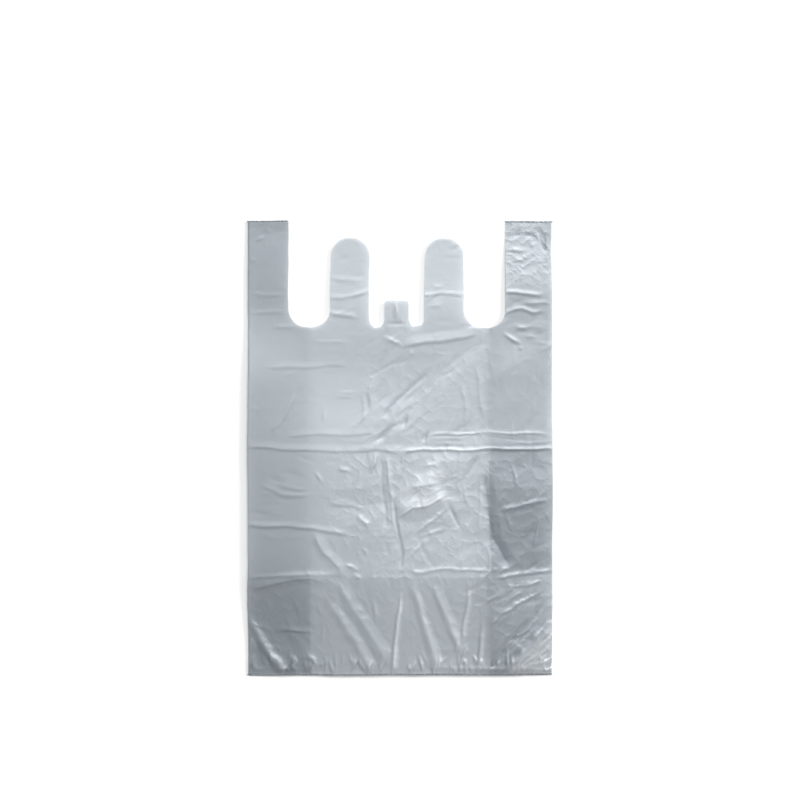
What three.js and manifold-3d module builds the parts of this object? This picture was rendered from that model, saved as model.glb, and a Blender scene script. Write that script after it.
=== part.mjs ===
// A plastic carrier bag of the vest kind, lying flat with its front panel up.
// One piece: a blown film tube with a gusset folded into each side, welded across both
// ends, and die-cut through all its layers into two carrying straps, two tie flaps and
// a hanging tab. Millimetres. +X is the bag's right, +Y runs from the bottom weld to the
// straps, +Z is up through the front panel. The origin is the middle of the underside.

import * as THREE from "three";
import { mergeVertices } from "three/addons/utils/BufferGeometryUtils.js";
import Module from "manifold-3d";

const wasm = await Module();
wasm.setup();

// The tube, as it leaves the folding machine.
const bagWidth = 302; // from side fold to side fold
const bagLength = 450; // from the bottom weld's edge to the straps' ends
const gussetDepth = 62; // how far each side is tucked in
const film = 0.04; // wall

// The welds, where the layers are pressed together.
const weldWidth = 3;
const weldPitch = 0.1; // from one layer to the next beside a weld
const weldProud = 0.02; // melted film that stands over the outer layers
const weldRamp = 5; // from the side of the gusset's inner fold to the two-layer middle

// The die that cuts straps, flaps and tab, measured from its own centre line.
const dieOffset = -3; // the stroke lands a little to the left
const tabWidth = 23.8;
const tabHeight = 27.5;
const tabCorner = 3;
const slotWidth = 15.7; // between the tab and a flap
const slotEndHeight = 11.6; // of the half ellipse that ends a slot
const flapWidth = 38.3;
const flapDrop = 16.5; // from the straps' ends down to a flap's tip
const handWidth = 42; // the cut-out beside a strap
const handDepth = 106; // from the straps' ends down to the floor of the cut-outs
const handCorner = 19;
const tearLineHeight = 4.5; // pressed line across the tab, over the floor of the slots
const tearLineWidth = 3;
const tearLineDepth = 1;

// How the film lies. A side fold springs to a small radius, and the front panel stands
// off the rear one by a few millimetres of trapped air.
const foldRadius = 0.25;
const bodyLoft = 9; // in the middle of the body
const sideLoft = 1; // at the side folds of the body
const mouthLoft = 7.5; // at the floor of the cut-outs
const flapTipLoft = 6.5;
const strapLoft = 7; // halfway up a strap, between its front and rear pair of layers
const bottomRise = 52; // from the bottom weld to the full loft
const strapRise = 42; // from the straps' weld down to the full loft
const strapFoot = 75; // below the cut-outs, where the sides begin to open
const stripBlend = 30; // over which the gusset strips come to lie along the panels

// Packing folds across the bag, which it keeps after it is unfolded.
const packingFoldFirst = 99.5; // up from the bottom edge
const packingFoldPitch = 124.5;
const packingFoldCount = 3;
const packingFoldHalf = 8; // half the width of the valley
const packingFoldShare = 0.1; // of the loft, lost in the valley

// How finely the form is divided.
const bottomShares = [0.12, 0.28, 0.45, 0.65, 1]; // stations up the rise of the bottom
const strapShares = [0.12, 0.3, 0.55, 1]; // and down the rise of the straps
const closestStations = 0.8; // no two lie nearer along the bag
const closestPlaces = 1; // nor across it
const foldArcSteps = 3; // in the half turn of a fold
const dieArcSegments = 5; // in each arc of the die's outline
const mergeDistance = 1e-4; // points nearer than this are one

// Places that follow from the sizes above.
const halfWidth = bagWidth / 2;
const bottomY = -bagLength / 2;
const topY = bagLength / 2;
const mouthY = topY - handDepth;
const flapTipY = topY - flapDrop;
const strapMiddleY = (mouthY + topY) / 2;
const tearLineY = mouthY + tearLineHeight;
const innerFoldX = halfWidth - gussetDepth;
const tabEdge = tabWidth / 2;
const flapInner = tabEdge + slotWidth;
const flapOuter = flapInner + flapWidth;
const strapInner = flapOuter + handWidth;
const strapMiddleX = (halfWidth + strapInner) / 2;
const overrun = 5; // cutters reach this far past what they cut
const weldLap = 0.5; // from a weld's outer edge to the end of the tube inside it
const slotMargin = 1; // from the end of the tear line to the flaps
const rearZ = film / 2;

const smooth = (from, to, value) => THREE.MathUtils.smoothstep(value, from, to);
const mix = THREE.MathUtils.lerp;

// The values in order, without those that lie too near the one before them.
function spaced(values, least) {
  const kept = [];
  for (const value of values.sort((a, b) => a - b)) {
    if (kept.length === 0 || value - kept.at(-1) > least) kept.push(value);
  }
  return kept;
}

// 1 beside either weld, falling to 0 where the film is free.
function nearWeld(y) {
  const fromBottom = smooth(bottomY + weldWidth, bottomY + weldWidth + bottomRise, y);
  const fromTop = smooth(-(topY - weldWidth), -(topY - weldWidth - strapRise), -y);
  return 1 - Math.min(fromBottom, fromTop);
}

// The packing folds' valleys: 0 away from them, 1 on a fold.
function packingFold(y) {
  let deepest = 0;
  for (let i = 0; i < packingFoldCount; i += 1) {
    const foldY = bottomY + packingFoldFirst + i * packingFoldPitch;
    deepest = Math.max(deepest, 1 - Math.abs(y - foldY) / packingFoldHalf);
  }
  return deepest;
}

// Air between the panels, at the middle of the bag and at its side folds.
function middleLoft(y) {
  const rise = smooth(bottomY + weldWidth, bottomY + weldWidth + bottomRise, y);
  const body = mix(bodyLoft, mouthLoft, smooth(mouthY - strapFoot, mouthY, y));
  const flaps = mix(body, flapTipLoft, smooth(mouthY, flapTipY, y));
  return rise * flaps * (1 - smooth(flapTipY, topY - weldWidth, y));
}

function edgeLoft(y) {
  const rise = smooth(bottomY + weldWidth, bottomY + weldWidth + bottomRise, y);
  const opened = mix(sideLoft, strapLoft, smooth(mouthY - strapFoot, strapMiddleY, y));
  return rise * opened * smooth(-(topY - weldWidth), -(topY - weldWidth - strapRise), -y);
}

const radiusAt = (y) => mix(foldRadius, weldPitch / 2, nearWeld(y));

// Height of the front panel's film over the underside.
function frontZ(x, y) {
  const crown = 1 - (x / halfWidth) ** 2;
  const valley = 1 - packingFoldShare * packingFold(y);
  const loft = valley * mix(edgeLoft(y), middleLoft(y), crown);
  const r = radiusAt(y);
  const twoLayers = smooth(-innerFoldX, -(innerFoldX - weldRamp), -Math.abs(x));
  const pressed = 4 * r * twoLayers * nearWeld(y);
  const onTab = Math.abs(x - dieOffset) < flapInner - slotMargin;
  const line = 1 - Math.abs(y - tearLineY) / (tearLineWidth / 2);
  const tearLine = onTab ? tearLineDepth * Math.max(line, 0) : 0;
  return rearZ + 6 * r + loft - pressed - tearLine;
}

// Half a turn of film from below to above (x, z), bulging towards the given side.
function foldArc(x, z, r, side) {
  return Array.from({ length: foldArcSteps + 1 }, (_, i) => {
    const angle = -Math.PI / 2 + (Math.PI * i) / foldArcSteps;
    return [x + side * r * Math.cos(angle), z + r * Math.sin(angle)];
  });
}

// Places across a gusset where its strips bend, from its side fold inwards.
function gussetBends(side) {
  const strapEdge = strapInner + side * dieOffset;
  const wanted = [strapMiddleX, strapEdge, (strapEdge + innerFoldX) / 2];
  const inGusset = wanted.filter((x) => x > innerFoldX + closestPlaces);
  return spaced(inGusset, closestPlaces).reverse();
}

// One side's gusset, from the rear side fold in to the inner fold and out to the front.
function gusset(side, y) {
  const r = radiusAt(y);
  const foldX = halfWidth - film / 2 - r;
  const bends = gussetBends(side);
  const innerX = innerFoldX + r;
  const innerZ = (frontZ(side * innerX, y) + rearZ) / 2;
  const frontEdge = frontZ(side * foldX, y);
  const alongPanels = smooth(mouthY - stripBlend / 2, mouthY + stripBlend / 2, y);
  const share = (x) => (foldX - x) / (foldX - innerX);
  const rearHalf = bends.map((x) => {
    const slack = mix(rearZ + 2 * r, innerZ - r, share(x));
    return [side * x, mix(slack, rearZ + 2 * r, alongPanels)];
  });
  const frontHalf = bends.reverse().map((x) => {
    const slack = mix(frontEdge - 2 * r, innerZ + r, share(x));
    return [side * x, mix(slack, frontZ(side * x, y) - 2 * r, alongPanels)];
  });
  return [
    ...foldArc(side * foldX, rearZ + r, r, side),
    ...rearHalf,
    ...foldArc(side * innerX, innerZ, r, -side),
    ...frontHalf,
    ...foldArc(side * foldX, frontEdge - r, r, side),
  ];
}

// Places across the front panel where its film bends or the die cuts.
function frontPanelPlaces() {
  const die = [tabEdge, flapInner, (flapInner + flapOuter) / 2, flapOuter, strapInner];
  const wanted = [dieOffset];
  for (const side of [-1, 1]) {
    wanted.push(...die.map((x) => dieOffset + side * x));
    wanted.push(side * innerFoldX, side * (innerFoldX - weldRamp));
    wanted.push(side * strapMiddleX);
  }
  return spaced(wanted, closestPlaces);
}

const frontPlaces = frontPanelPlaces();
const rearPlaces = [innerFoldX, 0, -innerFoldX];

// The film's centre line at y: across the front, down the right gusset, back along the
// rear panel and up the left gusset.
function centreLine(y) {
  return [
    ...frontPlaces.map((x) => [x, frontZ(x, y)]),
    ...gusset(1, y).reverse(),
    ...rearPlaces.map((x) => [x, rearZ]),
    ...gusset(-1, y),
  ];
}

// The centre line moved sideways by offset, mitred at each corner.
function offsetLine(points, offset) {
  const count = points.length;
  return points.map(([x, z], i) => {
    const [px, pz] = points[(i + count - 1) % count];
    const [nx, nz] = points[(i + 1) % count];
    const before = new THREE.Vector2(x - px, z - pz).normalize();
    const after = new THREE.Vector2(nx - x, nz - z).normalize();
    const normal = new THREE.Vector2(-(before.y + after.y), before.x + after.x);
    const mitre = offset / (0.5 * normal.lengthSq());
    return [x + normal.x * mitre, z + normal.y * mitre];
  });
}

// Stations along the bag, close together where the film turns.
function stations() {
  const wanted = [bottomY + weldLap, bottomY + weldWidth, topY - weldWidth, topY - weldLap];
  wanted.push(...bottomShares.map((share) => bottomY + weldWidth + share * bottomRise));
  wanted.push(...strapShares.map((share) => topY - weldWidth - share * strapRise));
  for (let i = 0; i < packingFoldCount; i += 1) {
    const foldY = bottomY + packingFoldFirst + i * packingFoldPitch;
    wanted.push(foldY - packingFoldHalf, foldY, foldY + packingFoldHalf);
  }
  const half = tearLineWidth / 2;
  wanted.push(tearLineY - half, tearLineY, tearLineY + half);
  wanted.push(mouthY - strapFoot, mouthY - stripBlend / 2, mouthY, mouthY + stripBlend / 2);
  wanted.push((mouthY - strapFoot + mouthY) / 2, strapMiddleY);
  return spaced(wanted, closestStations);
}

// A closed film wall through the stations, with a ring of film at each end.
function filmTube() {
  const rings = stations().map((y) => {
    const line = centreLine(y);
    return [film / 2, -film / 2].map((offset) =>
      offsetLine(line, offset).map(([x, z]) => [x, y, z]),
    );
  });
  const count = rings[0][0].length;
  const positions = rings.flat(3);
  const at = (ring, wall, i) => (ring * 2 + wall) * count + (i % count);
  const index = [];
  const quad = (a, b, c, d) => index.push(a, b, c, a, c, d);
  // All layers split their quads along the same diagonal in plan, so that they stay
  // clear of each other where the film is twisted.
  for (let ring = 0; ring + 1 < rings.length; ring += 1) {
    const next = ring + 1;
    for (let i = 0; i < count; i += 1) {
      const outer = [at(ring, 0, i), at(ring, 0, i + 1), at(next, 0, i + 1), at(next, 0, i)];
      const inner = [at(ring, 1, i + 1), at(ring, 1, i), at(next, 1, i), at(next, 1, i + 1)];
      const rightwards = rings[ring][0][(i + 1) % count][0] > rings[ring][0][i][0];
      const turned = rightwards ? inner : outer;
      turned.push(turned.shift());
      quad(...outer);
      quad(...inner);
    }
  }
  const last = rings.length - 1;
  for (let i = 0; i < count; i += 1) {
    quad(at(0, 0, i + 1), at(0, 0, i), at(0, 1, i), at(0, 1, i + 1));
    quad(at(last, 0, i), at(last, 0, i + 1), at(last, 1, i + 1), at(last, 1, i));
  }
  const geometry = new THREE.BufferGeometry();
  geometry.setAttribute("position", new THREE.Float32BufferAttribute(positions, 3));
  geometry.setIndex(index);
  return geometry;
}

// A weld: four layers thick over the gussets and two in the middle, from y upwards.
function weld(y) {
  const fourLayers = film + 3 * weldPitch + weldProud;
  const twoLayers = film + weldPitch + weldProud;
  const rampX = innerFoldX - weldRamp;
  const profile = new THREE.Shape();
  profile.moveTo(-halfWidth, 0);
  profile.lineTo(halfWidth, 0);
  profile.lineTo(halfWidth, fourLayers);
  profile.lineTo(innerFoldX, fourLayers);
  profile.lineTo(rampX, twoLayers);
  profile.lineTo(-rampX, twoLayers);
  profile.lineTo(-innerFoldX, fourLayers);
  profile.lineTo(-halfWidth, fourLayers);
  profile.closePath();
  const bar = new THREE.ExtrudeGeometry(profile, { depth: weldWidth, bevelEnabled: false });
  bar.rotateX(Math.PI / 2);
  bar.translate(0, y + weldWidth, 0);
  return bar;
}

// What the die punches out, as one outline: down each strap's inner edge, round the
// cut-out's floor, over the flap, round the slot and over the tab.
function dieWaste() {
  const outline = new THREE.Shape();
  const flapRadius = flapWidth / 2;
  const slotCentre = tabEdge + slotWidth / 2;
  const slotEndY = mouthY + slotEndHeight;
  const top = topY + overrun;
  const x = (fromCentre) => dieOffset + fromCentre;
  const flapShoulderY = flapTipY - flapRadius;
  const cornerY = mouthY + handCorner;
  outline.moveTo(x(-strapInner), top);
  outline.lineTo(x(-strapInner), cornerY);
  outline.absarc(x(-strapInner + handCorner), cornerY, handCorner, Math.PI, 1.5 * Math.PI);
  outline.absarc(x(-flapOuter - handCorner), cornerY, handCorner, 1.5 * Math.PI, 2 * Math.PI);
  outline.absarc(x(-flapOuter + flapRadius), flapShoulderY, flapRadius, Math.PI, 0, true);
  outline.absellipse(
    x(-slotCentre), slotEndY, slotWidth / 2, slotEndHeight, Math.PI, 2 * Math.PI,
  );
  const tabTop = mouthY + tabHeight - tabCorner;
  outline.absarc(x(-tabEdge + tabCorner), tabTop, tabCorner, Math.PI, Math.PI / 2, true);
  outline.absarc(x(tabEdge - tabCorner), tabTop, tabCorner, Math.PI / 2, 0, true);
  outline.absellipse(
    x(slotCentre), slotEndY, slotWidth / 2, slotEndHeight, Math.PI, 2 * Math.PI,
  );
  outline.absarc(x(flapOuter - flapRadius), flapShoulderY, flapRadius, Math.PI, 0, true);
  outline.absarc(x(flapOuter + handCorner), cornerY, handCorner, Math.PI, 1.5 * Math.PI);
  outline.absarc(x(strapInner - handCorner), cornerY, handCorner, 1.5 * Math.PI, 2 * Math.PI);
  outline.lineTo(x(strapInner), top);
  outline.closePath();
  const height = bodyLoft + 2 * overrun;
  const stroke = { depth: height, bevelEnabled: false, curveSegments: dieArcSegments };
  const waste = new THREE.ExtrudeGeometry(outline, stroke);
  waste.translate(0, 0, -overrun);
  return waste;
}

function toSolid(geometry) {
  const bare = geometry.clone();
  bare.deleteAttribute("normal");
  bare.deleteAttribute("uv");
  const merged = mergeVertices(bare, mergeDistance);
  const triVerts = Uint32Array.from(merged.index.array);
  const vertProperties = Float32Array.from(merged.attributes.position.array);
  return new wasm.Manifold(new wasm.Mesh({ numProp: 3, vertProperties, triVerts }));
}

function toGeometry(solid) {
  const mesh = solid.getMesh();
  const geometry = new THREE.BufferGeometry();
  geometry.setAttribute("position", new THREE.BufferAttribute(mesh.vertProperties, 3));
  geometry.setIndex(new THREE.BufferAttribute(mesh.triVerts, 1));
  geometry.computeVertexNormals();
  return geometry;
}

const tube = toSolid(filmTube());
const bottomWeld = toSolid(weld(bottomY));
const strapWeld = toSolid(weld(topY - weldWidth));
const blank = tube.add(bottomWeld).add(strapWeld);
const cut = blank.subtract(toSolid(dieWaste()));

const silverFilm = new THREE.MeshStandardMaterial({
  name: "silver_grey_film",
  color: 0xb9bec7,
  roughness: 0.35,
  metalness: 0,
});

const bag = new THREE.Mesh(toGeometry(cut), silverFilm);
bag.name = "film_bag";

const group = new THREE.Group();
group.add(bag);

export default group;
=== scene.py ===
"""A plastic carrier bag of the vest kind, lying flat on a white table, seen from straight above."""

import bpy
import numpy as np
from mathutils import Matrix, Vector


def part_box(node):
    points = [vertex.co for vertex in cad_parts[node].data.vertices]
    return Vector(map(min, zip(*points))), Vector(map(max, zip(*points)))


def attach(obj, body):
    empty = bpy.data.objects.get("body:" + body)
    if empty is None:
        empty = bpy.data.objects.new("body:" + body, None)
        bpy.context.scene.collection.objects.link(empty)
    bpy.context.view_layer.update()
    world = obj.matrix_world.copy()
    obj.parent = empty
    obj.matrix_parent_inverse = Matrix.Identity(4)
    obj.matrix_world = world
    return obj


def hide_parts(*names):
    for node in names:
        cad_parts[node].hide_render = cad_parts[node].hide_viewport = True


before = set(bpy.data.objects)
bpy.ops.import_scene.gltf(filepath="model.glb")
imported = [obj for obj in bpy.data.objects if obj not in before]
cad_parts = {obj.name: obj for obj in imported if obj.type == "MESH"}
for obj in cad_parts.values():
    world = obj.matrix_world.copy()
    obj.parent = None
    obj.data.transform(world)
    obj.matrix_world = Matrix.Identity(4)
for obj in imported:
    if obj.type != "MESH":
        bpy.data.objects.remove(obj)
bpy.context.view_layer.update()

# The film tube: blown polyethylene, 0.04 mm thick, with a gusset folded into each side.
# It lies as one unbroken section of front panel, two tucked gussets and rear panel,
# drawn together at the bottom weld and at the straps' ends. Sizes are in millimetres.
MM = 0.001
low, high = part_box("film_bag")
half_width = high.x / MM
bottom_y = low.y / MM
top_y = high.y / MM
gusset_depth = 62
weld_width = 3
weld_pitch = 0.1  # from one layer to the next beside a weld
fold_radius = 0.25
body_loft = 12  # air between the panels in the middle of the body
side_loft = 3.2
right_loft = 8  # at the right side, below the main packing fold
mouth_loft = 3.2
fullest_y = -110  # where the air stands highest
flap_tip_loft = 2.8
left_strap_loft = 1.2
right_strap_loft = 2.2
bottom_rise = 94  # from the bottom weld up to the full loft
bottom_rounding = 0.35  # from 0 for a straight rise to 1 for a smooth step
strap_rise = 80  # from the straps' welds down to the full loft
strap_fall = 15  # over the floor of the cut-outs, where the straps begin to fall
strap_foot = 75  # below the cut-outs, where the sides begin to open
strip_blend = 30  # over which the gussets come to lie along the panels
weld_lift = 5.0  # how far the bottom weld stands off the table at its middle
side_lift = 1.8  # at its left side
strap_lift = 2.0  # at the left strap's end
ripple_height = 0.35  # of the rear panel
inner_fold_share = 0.55  # how far up between the panels a gusset's inner fold lies
hand_depth = 106  # from the straps' ends down to the floor of the cut-outs
flap_drop = 16.5
layer_gap = 0.1  # least distance from one layer to the next
rear_share = 0.2  # of the front panel's creases that the rear panel shows
gusset_rear_share = 0.3  # and the gussets' rear halves
gusset_front_share = 0.95  # and their front halves, right under the front panel

mouth_y = top_y - hand_depth
flap_tip_y = top_y - flap_drop
strap_middle_y = (mouth_y + top_y) / 2
inner_fold_x = half_width - gusset_depth
side_fold_x = half_width - fold_radius

rear_columns = 24
gusset_columns = 5
fold_points = 1  # inside each half turn of a fold


def smooth(start, end, value):
    """Goes from 0 to 1 as the value goes from start to end."""
    t = np.clip((value - start) / (end - start), 0, 1)
    return t * t * (3 - 2 * t)


def mix(a, b, t):
    return a + (b - a) * t


lattice_size = 64  # random numbers each way, past which a pattern repeats


def noise(x, y, cell_x, cell_y, seed):
    """Smooth noise from -1 to 1 on a lattice of random numbers."""
    size = lattice_size
    lattice = np.random.default_rng(seed).uniform(-1, 1, (size, size))
    u, v = x / cell_x + size / 2, y / cell_y + size / 2
    i, j = np.floor(u).astype(int), np.floor(v).astype(int)
    fu, fv = u - i, v - j
    fu, fv = fu**3 * (fu * (fu * 6 - 15) + 10), fv**3 * (fv * (fv * 6 - 15) + 10)
    i, j = i % size, j % size
    k, m = (i + 1) % size, (j + 1) % size
    return mix(mix(lattice[j, i], lattice[j, k], fu), mix(lattice[m, i], lattice[m, k], fu), fv)


def rise_from_bottom(y):
    """How far the panels have parted above the bottom weld, from 0 to 1."""
    t = np.clip((y - bottom_y - weld_width) / bottom_rise, 0, 1)
    return mix(t, smooth(0, 1, t), bottom_rounding)


def rise_from_top(y):
    """How far a strap's layers have parted below its weld, from 0 to 1."""
    return 1 - smooth(top_y - weld_width - strap_rise, top_y - weld_width, y)


def fold_radius_at(y):
    """The folds' radius: at the welds the layers are pressed together."""
    near_weld = 1 - np.minimum(rise_from_bottom(y), rise_from_top(y))
    return mix(fold_radius, weld_pitch / 2, near_weld)


def lift(x, y):
    """How far the whole bag stands off the table along its left side, bottom and left strap."""
    left_side = side_lift * smooth(-40, -half_width, x) * smooth(-205, -70, y) * smooth(150, 60, y)
    wavy = 0.12 * noise(x, y, 30, 400, 3)
    bottom = weld_lift * smooth(-50, bottom_y, y) * (1 - 0.7 * (x / half_width) ** 2 + wavy)
    left_strap = strap_lift * smooth(80, top_y, y) * smooth(-60, -115, x)
    return left_side + bottom + left_strap


def plain_front(x, y):
    """Height of the front panel before it is creased, over the gussets' folded layers."""
    body = mix(body_loft, mouth_loft, smooth(fullest_y, mouth_y, y))
    flaps = mix(body, flap_tip_loft, smooth(mouth_y, flap_tip_y, y))
    falling_y = mix(flap_tip_y, mouth_y + strap_fall, smooth(70, 100, np.abs(x)))
    middle = rise_from_bottom(y) * flaps * (1 - smooth(falling_y, top_y - weld_width, y))
    strap_loft = mix(left_strap_loft, right_strap_loft, smooth(-100, 100, x))
    side = mix(side_loft, right_loft, smooth(20, 140, x) * smooth(60, -40, y))
    opened = mix(side, strap_loft, smooth(mouth_y - strap_foot, strap_middle_y, y))
    edge = rise_from_bottom(y) * opened * rise_from_top(y)
    crown = 1 - (x / half_width) ** 2
    return 6 * fold_radius_at(y) + mix(edge, middle, crown) + lift(x, y)


def rear(x, y):
    """Height of the rear panel: it lies on the table and lifts a little at the edges."""
    ripples = ripple_height * (1 + noise(x, y, 26, 34, 5)) * rise_from_bottom(y) * rise_from_top(y)
    return np.maximum(lift(x, y) + ripples + crumpled(x, y, rear_share), 0)


def share_of_gusset(x):
    """From 0 at a side fold to 1 at the gusset's inner fold."""
    return np.clip((side_fold_x - np.abs(x)) / gusset_depth, 0, 1)


def gusset_rear(x, y):
    """Height of a gusset's rear half, which runs from the side fold in to the inner fold."""
    r = fold_radius_at(y)
    edge_x = np.sign(x) * side_fold_x
    inner_x = np.sign(x) * inner_fold_x
    on_rear = rear(x, y) + 2 * r
    inner = mix(rear(inner_x, y), plain_front(inner_x, y), inner_fold_share) - r
    along = smooth(mouth_y - strip_blend / 2, mouth_y + strip_blend / 2, y)
    slack = mix(rear(edge_x, y) + 2 * r, inner, share_of_gusset(x))
    lying = mix(slack, on_rear, along) + crumpled(x, y, gusset_rear_share)
    return np.maximum(lying, rear(x, y) + layer_gap)


def gusset_front(x, y):
    """Height of a gusset's front half, which runs from the inner fold out to the front."""
    r = fold_radius_at(y)
    edge_x = np.sign(x) * side_fold_x
    inner_x = np.sign(x) * inner_fold_x
    inner = mix(rear(inner_x, y), plain_front(inner_x, y), inner_fold_share) + r
    along = smooth(mouth_y - strip_blend / 2, mouth_y + strip_blend / 2, y)
    slack = mix(plain_front(edge_x, y) - 2 * r, inner, share_of_gusset(x))
    under_front = plain_front(x, y) - 2 * r
    lying = mix(slack, under_front, along) + crumpled(x, y, gusset_front_share)
    return np.maximum(lying, gusset_rear(x, y) + layer_gap)


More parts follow.
